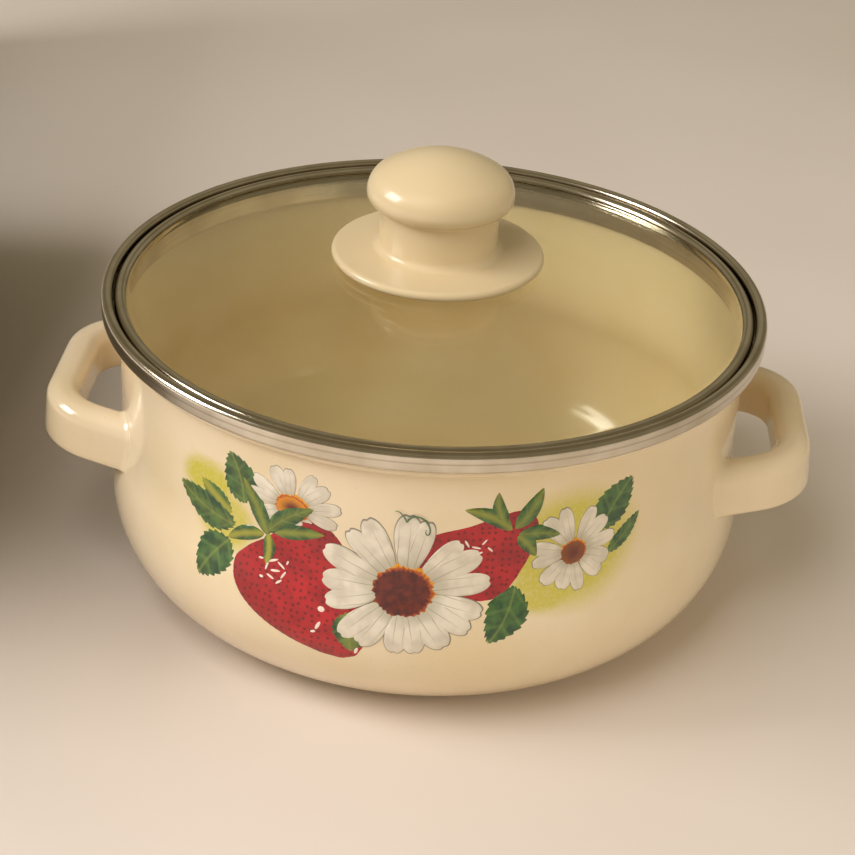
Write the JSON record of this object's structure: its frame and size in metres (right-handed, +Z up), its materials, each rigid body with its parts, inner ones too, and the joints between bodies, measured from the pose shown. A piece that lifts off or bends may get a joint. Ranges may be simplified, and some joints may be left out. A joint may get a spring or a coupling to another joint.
{
  "type": "saucepan with glass lid",
  "caption": "Round enamelled saucepan with side loop handles, polished steel rim trim and a lift-off domed glass lid with a steel band and a moulded knob.",
  "frame": {"origin": "centre of the underside of the base", "axes": "+Z up along the pot's axis; the two side handles lie along +X and -X; the front with the printed fruit and flowers faces -Y"},
  "size_m": [0.2528, 0.2144, 0.1492],
  "materials": {
    "enamel": "glossy cream vitreous enamel fired on steel sheet",
    "polished_trim": "polished stainless steel",
    "glass": "clear tempered glass",
    "knob_plastic": "glossy cream moulded phenolic",
    "brass": "turned brass",
    "silicone": "translucent silicone rubber",
    "plain_steel": "plain stainless steel"
  },
  "bodies": {
    "pot": {"pot_body": "enamel", "rim_trim": "polished_trim", "handle_right": "enamel", "handle_left": "enamel"},
    "lid": {"lid_glass": "glass", "lid_band": "polished_trim", "knob": "knob_plastic", "knob_insert": "brass", "knob_gasket": "silicone", "glass_gasket": "silicone", "lid_washer": "plain_steel", "lid_screw": "plain_steel"}
  },
  "joints": [
    {"name": "lid_lift", "type": "slide", "parent": "pot", "child": "lid", "axis": [0, 0, 1], "range_m": [0, 0.12]}
  ]
}
